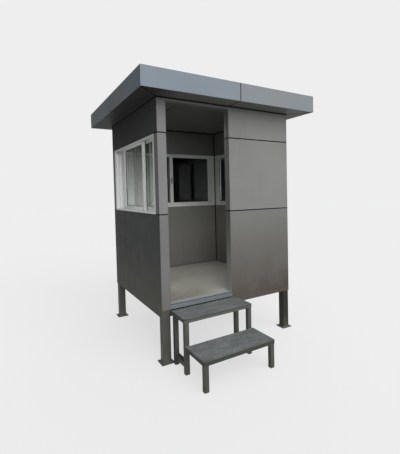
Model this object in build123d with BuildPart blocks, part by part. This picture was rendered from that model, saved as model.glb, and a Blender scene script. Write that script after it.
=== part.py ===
from build123d import *
import os

# Security guard booth on four legs, with a free-standing pair of steps at its doorway.
#
# Millimetres, +Z up, the ground at z = 0. The doorway faces -Y. The origin is on the ground, at the
# middle of the whole footprint: midway across the booth, and midway between the front of the steps
# and the back edge of the roof.

# ------------------------------------------------------------------ driving dimensions
# Body, over the outside of the cladding
body_width = 1500.0
body_depth = 1500.0

# Heights above the ground
panel_bottom = 412.0  # lower edge of the wall panels
floor_height = 527.0  # finished floor
window_bottom = 1334.0  # also the lower panel joint
window_top = 2052.0  # also the upper panel joint
soffit_height = 2360.0  # underside of the soffit and of the ceiling

# Sheets and joints
cladding = 4.0  # composite sheet of the panels, linings, soffit, fascia and ceiling
panel_joint = 10.0  # open joint between wall panels
roof_joint = 8.0  # open joint between fascia, soffit and ceiling boards
soffit_gap = 8.0  # shadow gap between the soffit and the wall

# Steel frame
post_side = 75.0
post_wall = 3.0
post_radius = 6.0
plate_side = 120.0
plate_thickness = 8.0
plate_radius = 4.0
beam_height = 100.0
beam_wall = 3.0
floor_joist_width = 40.0
floor_joist_height = 60.0
floor_joist_count = 3
door_post_width = 40.0

# Floor and doorway
floor_board = 6.0
door_width = 656.0
sill_band = 46.0  # height of the sill's front face
head_strip = 31.0  # height of the strip over the doorway
head_sheet = 4.0

# Windows: a frame with two channels, and two sliding sashes
frame_depth = 75.0
frame_jamb = 40.0
frame_rail = 25.0  # sill and head of the frame
channel_depth = 12.0
sash_thickness = 26.0
sash_clearance = 1.0  # beside a sash, in its channel
sash_lift = 4.0  # above a sash, in its channel
sash_stile = 60.0
meeting_stile = 45.0
sash_bottom_rail = 50.0
sash_top_rail = 30.0
pane_thickness = 5.0
glazing_bite = 6.0  # how far a pane's edge enters its sash
left_window_slide = 320.0  # how far the outer sash of the left window stands open

# Roof
overhang = 204.0
fascia_height = 168.0
bearer_height = 75.0
bearer_wall = 3.0
bearer_count = 4
roof_joist_width = 40.0
roof_joist_wall = 2.5
roof_joist_count = 5
deck_sheet = 4.0
deck_drop = 16.0  # from the top of the fascia down to the deck
ceiling_sheet_width = 1220.0  # the wide ceiling board, from the right outer face to its joint

# Steps
step_left_inset = 82.0  # left end of the upper tread, from the left outer face
upper_tread_width = 700.0
upper_tread_depth = 275.0
upper_tread_height = 472.0
lower_left_inset = 90.0
lower_tread_width = 700.0
lower_tread_depth = 310.0
lower_tread_height = 242.0
tread_plate = 4.0
tread_rim = 33.0  # height of a tread's edge
rim_wall = 3.0
tread_radius = 16.0  # front corners of a tread
step_tube = 40.0
step_tube_wall = 2.5
step_tube_radius = 4.0
leg_fit = 0.5  # between a leg and the rounded corner of a tread's rim
plate_clearance = 2.0  # between a back leg and the booth's foot plate
brace_bottom = 60.0
step_brace_height = 40.0

# ------------------------------------------------------------------ values that follow
right_face = body_width / 2
left_face = -right_face
step_reach = upper_tread_depth + lower_tread_depth
front_face = -(body_depth + overhang - step_reach) / 2
back_face = front_face + body_depth
middle_y = (front_face + back_face) / 2

wall_thickness = cladding + post_side + cladding
board_top = soffit_height + cladding  # where the walls end and the roof frame begins
beam_top = floor_height - floor_board
beam_bottom = beam_top - beam_height
door_left = left_face + wall_thickness
door_right = door_left + door_width
half_joint = panel_joint / 2

# Panel bands, from the ground up: each is a bottom and a top
lower_band = (panel_bottom, window_bottom - half_joint)
middle_band = (window_bottom + half_joint, window_top - half_joint)
upper_band = (window_top + half_joint, board_top)

# Lines inside the wall, counted inwards from an outer face
frame_line = cladding  # outer side of the posts and wall cores
lining_line = cladding + post_side  # inner side of the posts
room_line = wall_thickness  # face of the lining, inside the room

os.makedirs("parts", exist_ok=True)


def save(piece, name):
    """Label a finished piece and write it."""
    piece.part.label = name
    export_step(piece.part, f"parts/{name}.step")


def board(plane, u, v, thickness, mode=Mode.ADD):
    """A flat board in the open part: it spans u and v on the plane and grows by thickness along it."""
    with BuildSketch(plane) as outline:
        with Locations(((u[0] + u[1]) / 2, (v[0] + v[1]) / 2)):
            Rectangle(u[1] - u[0], v[1] - v[0])
    extrude(outline.sketch, amount=thickness, mode=mode)


def tube(plane, u, v, wall, length, radius=0.0):
    """A rectangular tube in the open part: its section spans u and v on the plane."""
    width, height = u[1] - u[0], v[1] - v[0]
    with BuildSketch(plane) as section:
        with Locations(((u[0] + u[1]) / 2, (v[0] + v[1]) / 2)):
            if radius > wall:
                RectangleRounded(width, height, radius)
                RectangleRounded(width - 2 * wall, height - 2 * wall, radius - wall, mode=Mode.SUBTRACT)
            else:
                Rectangle(width, height)
                Rectangle(width - 2 * wall, height - 2 * wall, mode=Mode.SUBTRACT)
    extrude(section.sketch, amount=length)


def level(height):
    """The horizontal plane at a height above the ground."""
    return Plane.XY.offset(height)


# The outer face of each wall: u runs to the right as seen from outside, v is the height
front_wall = Plane(origin=(0, front_face, 0), x_dir=(1, 0, 0), z_dir=(0, -1, 0))
back_wall = Plane(origin=(0, back_face, 0), x_dir=(-1, 0, 0), z_dir=(0, 1, 0))
left_wall = Plane(origin=(left_face, middle_y, 0), x_dir=(0, -1, 0), z_dir=(-1, 0, 0))
right_wall = Plane(origin=(right_face, middle_y, 0), x_dir=(0, 1, 0), z_dir=(1, 0, 0))

# Sections across the depth of the booth: u runs along +X and v along +Z, towards -Y
front_section = Plane.XZ

# ------------------------------------------------------------------ corner posts and feet
near_x = (left_face + frame_line, left_face + lining_line)
far_x = (right_face - lining_line, right_face - frame_line)
near_y = (front_face + frame_line, front_face + lining_line)
far_y = (back_face - lining_line, back_face - frame_line)
posts = {
    "front_left": (near_x, near_y),
    "front_right": (far_x, near_y),
    "back_left": (near_x, far_y),
    "back_right": (far_x, far_y),
}

for corner, (post_x, post_y) in posts.items():
    with BuildPart() as corner_post:
        tube(level(plate_thickness), post_x, post_y, post_wall, board_top - plate_thickness, post_radius)
    save(corner_post, f"corner_post_{corner}")

with BuildPart() as foot_plates:
    with BuildSketch():
        for post_x, post_y in posts.values():
            with Locations((sum(post_x) / 2, sum(post_y) / 2)):
                RectangleRounded(plate_side, plate_side, plate_radius)
    extrude(amount=plate_thickness)
save(foot_plates, "foot_plates")

# ------------------------------------------------------------------ floor
beam_span_x = (near_x[1], far_x[0])
beam_span_y = (near_y[1], far_y[0])
beam_z = (beam_bottom, beam_top)

# One beam between each pair of posts, so that no two of them touch
with BuildPart() as floor_beams:
    for beam_x in (near_x, far_x):
        tube(front_section.offset(-beam_span_y[0]), beam_x, beam_z, beam_wall, beam_span_y[0] - beam_span_y[1])
    for beam_y in (near_y, far_y):
        tube(Plane.YZ.offset(beam_span_x[0]), beam_y, beam_z, beam_wall, beam_span_x[1] - beam_span_x[0])
save(floor_beams, "floor_beams")

joist_spacing = (beam_span_x[1] - beam_span_x[0]) / (floor_joist_count + 1)
with BuildPart() as floor_joists:
    for index in range(floor_joist_count):
        joist_middle = beam_span_x[0] + joist_spacing * (index + 1)
        joist_x = (joist_middle - floor_joist_width / 2, joist_middle + floor_joist_width / 2)
        joist_z = (beam_top - floor_joist_height, beam_top)
        joist_length = beam_span_y[0] - beam_span_y[1]
        tube(front_section.offset(-beam_span_y[0]), joist_x, joist_z, beam_wall, joist_length)
save(floor_joists, "floor_joists")

room_x = (left_face + room_line, right_face - room_line)
room_y = (front_face + room_line, back_face - room_line)
with BuildPart() as floor_panel:
    board(level(beam_top), room_x, room_y, floor_board)
save(floor_panel, "floor_panel")

# ------------------------------------------------------------------ front wall and doorway
door_post_x = (door_right + cladding, door_right + cladding + door_post_width)
with BuildPart() as door_post:
    tube(level(beam_top), door_post_x, near_y, beam_wall, board_top - beam_top)
save(door_post, "door_post")

# Solid filling behind the front panels, and the lining on its inner side
with BuildPart() as front_wall_core:
    core_height = board_top - beam_top
    board(level(beam_top), (door_post_x[1], far_x[0]), near_y, core_height)
    board(level(beam_top), (door_right + cladding, room_x[1]), (near_y[1], room_y[0]), core_height)
save(front_wall_core, "front_wall_core")

# Each front panel folds round the door post, and its return lines the doorway
front_bands = {"lower": lower_band, "middle": middle_band, "upper": upper_band}
for band, (band_bottom, band_top) in front_bands.items():
    return_bottom = max(band_bottom, beam_top)
    with BuildPart() as front_panel:
        board(front_wall, (door_right, right_face), (band_bottom, band_top), -cladding)
        board(
            front_wall.offset(-cladding),
            (door_right, door_right + cladding),
            (return_bottom, band_top),
            cladding - room_line,
        )
    save(front_panel, f"front_panel_{band}")

# The front-left post is clad in three lengths, each folded into the doorway
post_cladding_bottom = floor_height - sill_band
post_bands = ((post_cladding_bottom, lower_band[1]), middle_band, upper_band)
with BuildPart() as front_post_cladding:
    for band_bottom, band_top in post_bands:
        return_bottom = max(band_bottom, beam_top)
        board(front_wall, (left_face, door_left), (band_bottom, band_top), -cladding)
        board(
            front_wall.offset(-cladding),
            (door_left - cladding, door_left),
            (return_bottom, band_top),
            -post_side,
        )
save(front_post_cladding, "front_post_cladding")

# Folded sill: a front face, and a top that is level with the floor
with BuildPart() as door_sill:
    board(front_wall, (door_left, door_right), (post_cladding_bottom, floor_height), -cladding)
    board(
        front_wall.offset(-cladding),
        (door_left, door_right),
        (beam_top, floor_height),
        cladding - room_line,
    )
save(door_sill, "door_sill")

# Folded strip over the doorway: a channel that is open upwards
head_bottom = soffit_height - head_strip
with BuildPart() as door_head:
    board(front_wall, (door_left, door_right), (head_bottom, board_top), -wall_thickness)
    board(
        front_wall.offset(-head_sheet),
        (door_left, door_right),
        (head_bottom + head_sheet, board_top),
        2 * head_sheet - wall_thickness,
        mode=Mode.SUBTRACT,
    )
save(door_head, "door_head")

# ------------------------------------------------------------------ side and back walls
# For each wall: its plane, half its width, how far its cladding stops short of its ends, how far the
# lining stops short of the core's ends, and how far the outer sash stands open
side_inset = cladding
walls = {
    "left": (left_wall, body_depth / 2, side_inset, 0.0, left_window_slide),
    "right": (right_wall, body_depth / 2, side_inset, 0.0, 0.0),
    "back": (back_wall, body_width / 2, 0.0, cladding, 0.0),
}
track_wall = (frame_depth - 2 * (sash_thickness + 2 * sash_clearance)) / 3
channel_width = sash_thickness + 2 * sash_clearance

for side, (wall, half_width, end_inset, lining_inset, slide) in walls.items():
    panel_end = half_width - end_inset
    window_end = half_width - wall_thickness
    core_end = half_width - lining_line

    with BuildPart() as panel_lower:
        board(wall, (-panel_end, panel_end), lower_band, -cladding)
    save(panel_lower, f"{side}_panel_lower")

    with BuildPart() as panel_upper:
        board(wall, (-panel_end, panel_end), upper_band, -cladding)
    save(panel_upper, f"{side}_panel_upper")

    # Core and lining, with the window cut through both
    with BuildPart() as wall_core:
        core_z = (beam_top, board_top)
        lining_end = core_end - lining_inset
        board(wall.offset(-frame_line), (-core_end, core_end), core_z, -post_side)
        board(wall.offset(-lining_line), (-lining_end, lining_end), core_z, -cladding)
        board(
            wall.offset(-frame_line),
            (-window_end, window_end),
            (window_bottom, window_top),
            frame_line - room_line,
            mode=Mode.SUBTRACT,
        )
    save(wall_core, f"{side}_wall_core")

    # Window frame, level with the cladding outside, with a channel all round for each sash
    light_end = window_end - frame_jamb
    light_z = (window_bottom + frame_rail, window_top - frame_rail)
    channel_end = light_end + channel_depth
    channel_z = (light_z[0] - channel_depth, light_z[1] + channel_depth)
    outer_channel = track_wall
    inner_channel = 2 * track_wall + channel_width
    with BuildPart() as window_frame:
        board(wall, (-window_end, window_end), (window_bottom, window_top), -frame_depth)
        board(wall, (-light_end, light_end), light_z, -frame_depth, mode=Mode.SUBTRACT)
        for channel in (outer_channel, inner_channel):
            board(
                wall.offset(-channel),
                (-channel_end, channel_end),
                channel_z,
                -channel_width,
                mode=Mode.SUBTRACT,
            )
    save(window_frame, f"{side}_window_frame")

    # Two sashes: the inner one fills the right half as seen from outside, the outer one the left
    sash_width = channel_end + meeting_stile / 2
    sash_z = (channel_z[0], channel_z[1] - sash_lift)
    pane_z = (sash_z[0] + sash_bottom_rail, sash_z[1] - sash_top_rail)
    outer_start = slide - channel_end
    sashes = (
        (outer_channel, outer_start, sash_stile, meeting_stile),
        (inner_channel, channel_end - sash_width, meeting_stile, sash_stile),
    )
    with BuildPart() as window_sashes:
        for channel, start, left_stile, right_stile in sashes:
            sash_plane = wall.offset(-channel - sash_clearance)
            sash_u = (start, start + sash_width)
            glass_u = (sash_u[0] + left_stile, sash_u[1] - right_stile)
            groove_u = (glass_u[0] - glazing_bite, glass_u[1] + glazing_bite)
            groove_z = (pane_z[0] - glazing_bite, pane_z[1] + glazing_bite)
            groove_plane = sash_plane.offset((pane_thickness - sash_thickness) / 2)
            board(sash_plane, sash_u, sash_z, -sash_thickness)
            board(sash_plane, glass_u, pane_z, -sash_thickness, mode=Mode.SUBTRACT)
            board(groove_plane, groove_u, groove_z, -pane_thickness, mode=Mode.SUBTRACT)
    save(window_sashes, f"{side}_window_sashes")

    with BuildPart() as window_panes:
        for channel, start, left_stile, right_stile in sashes:
            sash_plane = wall.offset(-channel - sash_clearance)
            pane_u = (start + left_stile - glazing_bite, start + sash_width - right_stile + glazing_bite)
            groove_z = (pane_z[0] - glazing_bite, pane_z[1] + glazing_bite)
            groove_plane = sash_plane.offset((pane_thickness - sash_thickness) / 2)
            board(groove_plane, pane_u, groove_z, -pane_thickness)
    save(window_panes, f"{side}_window_panes")

# Cladding of the posts beside the windows: a strip at the front ends of the side walls, and a
# folded corner at each back post
middle_height = middle_band[1] - middle_band[0]
with BuildPart() as corner_cladding:
    for strip_x in ((left_face, left_face + cladding), (right_face - cladding, right_face)):
        strip_y = (front_face + cladding, front_face + wall_thickness)
        return_y = (back_face - wall_thickness, back_face)
        board(level(middle_band[0]), strip_x, strip_y, middle_height)
        board(level(middle_band[0]), strip_x, return_y, middle_height)
    for fold_x in ((left_face, left_face + wall_thickness), (right_face - wall_thickness, right_face)):
        fold_y = (back_face - cladding, back_face)
        board(level(middle_band[0]), fold_x, fold_y, middle_height)
save(corner_cladding, "corner_cladding")

# ------------------------------------------------------------------ roof
roof_x = (left_face - overhang, right_face + overhang)
roof_y = (front_face - overhang, back_face + overhang)
inside_x = (roof_x[0] + cladding, roof_x[1] - cladding)
inside_y = (roof_y[0] + cladding, roof_y[1] - cladding)
fascia_z = (soffit_height, soffit_height + fascia_height)
bearer_z = (board_top, board_top + bearer_height)
deck_bottom = fascia_z[1] - deck_drop - deck_sheet

# Bearers run from front to back over the walls
first_bearer = sum(near_x) / 2
bearer_spacing = (sum(far_x) / 2 - first_bearer) / (bearer_count - 1)
with BuildPart() as roof_bearers:
    for index in range(bearer_count):
        bearer_middle = first_bearer + bearer_spacing * index
        bearer_x = (bearer_middle - post_side / 2, bearer_middle + post_side / 2)
        tube(front_section.offset(-inside_y[0]), bearer_x, bearer_z, bearer_wall, inside_y[0] - inside_y[1])
save(roof_bearers, "roof_bearers")

# Joists cross the bearers and carry the deck
first_joist = inside_y[0] + roof_joist_width / 2
roof_joist_spacing = (inside_y[1] - inside_y[0] - roof_joist_width) / (roof_joist_count - 1)
with BuildPart() as roof_joists:
    for index in range(roof_joist_count):
        joist_middle = first_joist + roof_joist_spacing * index
        joist_y = (joist_middle - roof_joist_width / 2, joist_middle + roof_joist_width / 2)
        joist_z = (bearer_z[1], deck_bottom)
        tube(Plane.YZ.offset(inside_x[0]), joist_y, joist_z, roof_joist_wall, inside_x[1] - inside_x[0])
save(roof_joists, "roof_joists")

with BuildPart() as roof_deck:
    board(level(deck_bottom), inside_x, inside_y, deck_sheet)
save(roof_deck, "roof_deck")

# Each side of the fascia is two equal boards: the front and back ones cover the ends of the others
half_gap = roof_joint / 2
fascias = {
    "front": (front_wall, roof_x[1]),
    "back": (back_wall, roof_x[1]),
    "left": (left_wall, (inside_y[1] - inside_y[0]) / 2),
    "right": (right_wall, (inside_y[1] - inside_y[0]) / 2),
}
for side, (wall, fascia_end) in fascias.items():
    with BuildPart() as fascia:
        board(wall.offset(overhang), (-fascia_end, -half_gap), fascia_z, -cladding)
        board(wall.offset(overhang), (half_gap, fascia_end), fascia_z, -cladding)
    save(fascia, f"fascia_{side}")

# Soffit: two boards on each side of the body, mitred from the corners of the body to the roof's
half_inside = {"x": (inside_x[1] - inside_x[0]) / 2, "y": (inside_y[1] - inside_y[0]) / 2}
half_body = {"x": body_width / 2 + soffit_gap, "y": body_depth / 2 + soffit_gap}
soffit_plane = Plane(origin=(0, middle_y, soffit_height))
with BuildPart() as soffit_panels:
    with BuildSketch(soffit_plane):
        Rectangle(2 * half_inside["x"], 2 * half_inside["y"])
        Rectangle(2 * half_body["x"], 2 * half_body["y"], mode=Mode.SUBTRACT)
        Rectangle(roof_joint, 2 * half_inside["y"], mode=Mode.SUBTRACT)
        Rectangle(2 * half_inside["x"], roof_joint, mode=Mode.SUBTRACT)
        for x_sign in (-1, 1):
            for y_sign in (-1, 1):
                body_corner = Vector(x_sign * body_width / 2, y_sign * body_depth / 2)
                roof_corner = Vector(x_sign * half_inside["x"], y_sign * half_inside["y"])
                run = (roof_corner - body_corner).normalized()
                across = Vector(-run.Y, run.X) * half_gap
                start = body_corner - run * roof_joint
                end = roof_corner + run * roof_joint
                with BuildLine():
                    Polyline(start + across, end + across, end - across, start - across, close=True)
                make_face(mode=Mode.SUBTRACT)
    extrude(amount=cladding)
save(soffit_panels, "soffit_panels")

# Ceiling: a wide board and a narrow one, between the linings
ceiling_joint_x = right_face - ceiling_sheet_width
with BuildPart() as ceiling_panel:
    board(level(soffit_height), (room_x[0], ceiling_joint_x - half_gap), room_y, cladding)
    board(level(soffit_height), (ceiling_joint_x + half_gap, room_x[1]), room_y, cladding)
save(ceiling_panel, "ceiling_panel")

# ------------------------------------------------------------------ steps
upper_x = (left_face + step_left_inset, left_face + step_left_inset + upper_tread_width)
lower_x = (left_face + lower_left_inset, left_face + lower_left_inset + lower_tread_width)
upper_y = (front_face - upper_tread_depth, front_face)
lower_front = upper_y[0] - lower_tread_depth

# The legs stand in the corners of a tread, clear of the rounded corners inside its rim
corner_cut = (tread_radius - rim_wall - step_tube_radius) * (1 - 0.5**0.5)
leg_inset = rim_wall + max(corner_cut, 0) + leg_fit
upper_front_y = (upper_y[0] + leg_inset, upper_y[0] + leg_inset + step_tube)
lower_front_y = (lower_front + leg_inset, lower_front + leg_inset + step_tube)

# The back legs also stand clear of the foot plate beside them
plate_front = sum(near_y) / 2 - plate_side / 2
back_leg_end = min(upper_y[1] - leg_inset, plate_front - plate_clearance)
upper_back_y = (back_leg_end - step_tube, back_leg_end)

# The back edge of the lower tread is carried by the front legs of the upper one
lower_y = (lower_front, upper_front_y[0])
treads = {
    "upper": (upper_x, upper_y, upper_tread_height),
    "lower": (lower_x, lower_y, lower_tread_height),
}

for name, (tread_x, tread_y, height) in treads.items():
    width, depth = tread_x[1] - tread_x[0], tread_y[1] - tread_y[0]
    centre = (sum(tread_x) / 2, sum(tread_y) / 2)
    with BuildPart() as tread:
        with BuildSketch(level(height)) as outline:
            with Locations(centre):
                Rectangle(width, depth)
            fillet(outline.vertices().group_by(Axis.Y)[0], tread_radius)
        extrude(amount=-tread_rim)
        with BuildSketch(level(height - tread_rim)) as hollow:
            with Locations(centre):
                Rectangle(width - 2 * rim_wall, depth - 2 * rim_wall)
            fillet(hollow.vertices().group_by(Axis.Y)[0], tread_radius - rim_wall)
        extrude(amount=tread_rim - tread_plate, mode=Mode.SUBTRACT)
    save(tread, f"step_{name}_tread")


def leg_ends(tread_x):
    """The left and the right leg under a tread, each as its span in x."""
    left_start = tread_x[0] + leg_inset
    right_end = tread_x[1] - leg_inset
    return (left_start, left_start + step_tube), (right_end - step_tube, right_end)


upper_leg_length = upper_tread_height - tread_plate
lower_leg_length = lower_tread_height - tread_plate
with BuildPart() as step_legs:
    for leg_x in leg_ends(upper_x):
        for leg_y in (upper_front_y, upper_back_y):
            tube(level(0), leg_x, leg_y, step_tube_wall, upper_leg_length, step_tube_radius)
    for leg_x in leg_ends(lower_x):
        tube(level(0), leg_x, lower_front_y, step_tube_wall, lower_leg_length, step_tube_radius)
save(step_legs, "step_legs")

# Low braces between the front and back legs of the upper step
brace_z = (brace_bottom, brace_bottom + step_brace_height)
brace_length = upper_front_y[1] - upper_back_y[0]
with BuildPart() as step_braces:
    for leg_x in leg_ends(upper_x):
        tube(front_section.offset(-upper_front_y[1]), leg_x, brace_z, step_tube_wall, brace_length)
save(step_braces, "step_braces")
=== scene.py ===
import math
import random

import bmesh
import bpy
from mathutils import Matrix, Vector


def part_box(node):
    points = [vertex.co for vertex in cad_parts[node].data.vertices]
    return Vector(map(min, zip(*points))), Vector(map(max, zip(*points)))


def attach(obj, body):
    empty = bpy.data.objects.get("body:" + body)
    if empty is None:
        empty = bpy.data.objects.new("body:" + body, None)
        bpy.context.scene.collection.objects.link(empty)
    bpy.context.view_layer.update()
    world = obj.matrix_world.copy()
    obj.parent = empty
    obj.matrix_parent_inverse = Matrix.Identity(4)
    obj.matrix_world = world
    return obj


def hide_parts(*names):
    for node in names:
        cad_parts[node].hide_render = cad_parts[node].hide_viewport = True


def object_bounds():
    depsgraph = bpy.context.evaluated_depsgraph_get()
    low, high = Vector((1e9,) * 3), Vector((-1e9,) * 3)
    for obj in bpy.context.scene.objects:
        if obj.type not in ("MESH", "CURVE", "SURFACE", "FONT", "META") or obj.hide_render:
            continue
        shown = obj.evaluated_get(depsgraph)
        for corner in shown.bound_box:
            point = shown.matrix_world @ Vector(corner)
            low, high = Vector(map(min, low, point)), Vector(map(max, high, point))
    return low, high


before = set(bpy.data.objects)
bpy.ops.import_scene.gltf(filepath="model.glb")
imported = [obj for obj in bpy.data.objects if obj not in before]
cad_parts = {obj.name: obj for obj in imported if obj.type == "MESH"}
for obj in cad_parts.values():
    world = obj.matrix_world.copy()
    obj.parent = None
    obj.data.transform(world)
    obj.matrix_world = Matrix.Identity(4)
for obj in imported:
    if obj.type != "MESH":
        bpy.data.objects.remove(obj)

scene = bpy.context.scene
cad_low, cad_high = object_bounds()
MM = 0.001
random.seed(7)


# ------ places, read from the frame
def low_of(node):
    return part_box(node)[0]


def high_of(node):
    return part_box(node)[1]


body_low = Vector((low_of("left_panel_lower").x, low_of("front_panel_lower").y, 0))
body_high = Vector((high_of("right_panel_lower").x, high_of("back_panel_lower").y, 0))
body_middle = (body_low + body_high) / 2
room_low = Vector((high_of("left_wall_core").x, high_of("front_wall_core").y, high_of("floor_panel").z))
room_high = Vector((low_of("right_wall_core").x, low_of("back_wall_core").y, low_of("ceiling_panel").z))
roof_low, roof_high = low_of("fascia_front"), high_of("fascia_back")
soffit_under = low_of("soffit_panels").z
deck_top = high_of("roof_deck").z
sill_low, sill_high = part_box("door_sill")
sheet = high_of("left_panel_lower").x - body_low.x
wall = room_low.x - body_low.x
window_low, window_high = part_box("back_window_frame")
lower_joint = (high_of("front_panel_lower").z, low_of("front_panel_middle").z)
upper_joint = (high_of("front_panel_middle").z, low_of("front_panel_upper").z)

# Sizes of the window sections and the treads, as in the CAD nodes
channel_width = 28 * MM
sash_stile = 60 * MM
meeting_stile = 45 * MM
sash_bottom_rail = 50 * MM
sash_top_rail = 30 * MM
tread_radius = 16 * MM
tread_plate = 4 * MM

# How far edges are rounded
front_edge = 1.4 * MM
board_edge = 1.2 * MM
steel_edge = 1.0 * MM
window_edge = 0.7 * MM
lining_edge = 0.6 * MM
floor_edge = 0.5 * MM
glass_edge = 0.4 * MM
latch_edge = 0.4 * MM
sash_edge = 0.35 * MM
tube_edge = 0.3 * MM
sharp_turn = 0.5  # radians; smaller turns between faces stay


class Side:
    """A wall as seen from outside: across runs to the right from its middle, inward from its outer face."""

    def __init__(self, name, middle, across, out):
        self.name = name
        self.middle = Vector(middle)
        self.across = Vector(across)
        self.out = Vector(out)

    def place(self, across, inward, height):
        return self.middle + self.across * across - self.out * inward + Vector((0, 0, height))

    def span(self, box):
        """A box as lowest and highest (across, inward, height)."""
        ends = [corner - self.middle for corner in box]
        across = sorted(end.dot(self.across) for end in ends)
        inward = sorted(-end.dot(self.out) for end in ends)
        return tuple(zip(across, inward, (box[0].z, box[1].z)))

    def frame(self):
        """The span of its window's frame."""
        return self.span(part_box(f"{self.name}_window_frame"))

    def solids(self, part):
        """The spans of the solids in one of its window's nodes, the outermost first."""
        boxes = [self.span(box) for box in loose_boxes(f"{self.name}_window_{part}")]
        return sorted(boxes, key=lambda box: box[0][1])


windowed = [
    Side("left", (body_low.x, body_middle.y, 0), (0, -1, 0), (-1, 0, 0)),
    Side("right", (body_high.x, body_middle.y, 0), (0, 1, 0), (1, 0, 0)),
    Side("back", (body_middle.x, body_high.y, 0), (-1, 0, 0), (0, 1, 0)),
]


# ------ colours and materials
def tint(red, green, blue):
    """A colour as it looks, 0 to 255, turned into the linear values that shaders take."""
    def linear(value):
        value /= 255
        return value / 12.92 if value <= 0.04045 else ((value + 0.055) / 1.055) ** 2.4
    return (linear(red), linear(green), linear(blue), 1.0)


def shade(colour, factor):
    """The same colour, darker or lighter."""
    return tuple(min(channel * factor, 1.0) for channel in colour[:3]) + (1.0,)


class Nodes:
    """A node tree being built. A node is fed by other nodes' sockets and by plain values."""

    def __init__(self, tree):
        self.tree = tree

    def feed(self, socket, value):
        if isinstance(value, bpy.types.NodeSocket):
            self.tree.links.new(value, socket)
        else:
            socket.default_value = value

    def node(self, kind, sockets=None, **settings):
        made = self.tree.nodes.new(kind)
        for key, value in settings.items():
            setattr(made, key, value)
        for key, value in (sockets or {}).items():
            self.feed(made.inputs[key], value)
        return made

    def math(self, operation, first, second=0.0):
        return self.node("ShaderNodeMath", {0: first, 1: second}, operation=operation).outputs["Value"]

    def remap(self, value, low, high, to_low=0.0, to_high=1.0, curve="LINEAR"):
        sockets = {"Value": value, "From Min": low, "From Max": high, "To Min": to_low, "To Max": to_high}
        return self.node("ShaderNodeMapRange", sockets, interpolation_type=curve).outputs["Result"]

    def mix_shader(self, share, first, second):
        return self.node("ShaderNodeMixShader", {0: share, 1: first, 2: second}).outputs[0]

    def background_rays(self):
        """One for rays that see the background as a picture: from the camera, off gloss or through glass."""
        path = self.node("ShaderNodeLightPath").outputs
        gloss_or_camera = self.math("MAXIMUM", path["Is Camera Ray"], path["Is Glossy Ray"])
        return self.math("MAXIMUM", gloss_or_camera, path["Is Transmission Ray"])


class Look(Nodes):
    """A material being built: one Principled shader, and the nodes that feed it."""

    def __init__(self, name, **inputs):
        self.material = bpy.data.materials.new(name)
        self.material.use_nodes = True
        super().__init__(self.material.node_tree)
        self.surface = self.tree.nodes["Principled BSDF"]
        self.place = self.node("ShaderNodeTexCoord").outputs["Object"]
        for socket, value in inputs.items():
            self.surface.inputs[socket.replace("_", " ")].default_value = value

    def noise(self, scale, detail=2.0, rough=0.5, stretch=None):
        """Noise over the object, with each axis scaled for streaks and grain."""
        vector = self.place
        if stretch:
            vector = self.node("ShaderNodeMapping", {"Vector": vector, "Scale": stretch}).outputs["Vector"]
        sockets = {"Vector": vector, "Scale": scale, "Detail": detail, "Roughness": rough}
        return self.node("ShaderNodeTexNoise", sockets).outputs["Fac"]

    def mix(self, share, first, second, blend="MIX"):
        sockets = {"Factor": share, 6: first, 7: second}
        return self.node("ShaderNodeMix", sockets, data_type="RGBA", blend_type=blend).outputs[2]

    def cover(self, pattern, low, high, under, over, share=1.0):
        """One colour where a pattern is low, and up to a share of another where it is high."""
        return self.mix(self.remap(pattern, low, high, 0.0, share), under, over)

    def dimmed(self, place, full, none, colour, factor):
        """A colour multiplied by a factor at one place, and left as it is at another."""
        share = self.remap(place, full, none, 1.0, 0.0)
        return self.mix(share, colour, (factor, factor, factor, 1.0), blend="MULTIPLY")

    def along(self, axis):
        """How far along X, Y or Z the place on the object is, in metres."""
        return self.node("ShaderNodeSeparateXYZ", {0: self.place}).outputs[axis]

    def facing(self, axis):
        """How far a surface faces along X, Y or Z, from -1 to 1."""
        normal = self.node("ShaderNodeNewGeometry").outputs["True Normal"]
        return self.node("ShaderNodeSeparateXYZ", {0: normal}).outputs[axis]

    def facing_up(self):
        """One on level surfaces that face up, nothing on upright ones."""
        return self.remap(self.facing("Z"), 0.6, 0.9)

    def finish(self, colour, roughness, relief, strength, distance):
        """Put colour, roughness and relief on the surface, and hand over the material."""
        sockets = {"Height": relief, "Strength": strength, "Distance": distance}
        normal = self.node("ShaderNodeBump", sockets).outputs["Normal"]
        for socket, value in (("Base Color", colour), ("Roughness", roughness), ("Normal", normal)):
            self.feed(self.surface.inputs[socket], value)
        return self.material


def low_dirt_and_painted_light(look, base, share, top, dirt_and_painted_light_colour, reveal):
    """Dirt thrown up from the ground to a height, in a colour that also carries painted shade and light.
    Where boards turn into the doorway it is paler: painted light.
    """
    fall = look.remap(look.along("Z"), sill_low.z, top, share, 0.0)
    patches = look.remap(look.noise(5.0, detail=5.0, rough=0.65), 0.25, 0.7, 0.72, 1.0)
    # Painted light: faces that turn across, as the doorway's jambs do, take the paler reveal colour.
    if reveal:
        painted_light_on_jambs = look.math("ABSOLUTE", look.facing("X"))
        dirt_and_painted_light_colour = look.cover(painted_light_on_jambs, 0.3, 0.7, dirt_and_painted_light_colour, reveal)
    base = look.mix(look.math("MULTIPLY", fall, patches), base, dirt_and_painted_light_colour)
    spots = look.remap(look.noise(130.0, detail=3.0, rough=0.7), 0.6, 0.72, 0.0, 0.6)
    return look.mix(look.math("MULTIPLY", fall, spots), base, tint(92, 80, 62))


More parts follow.
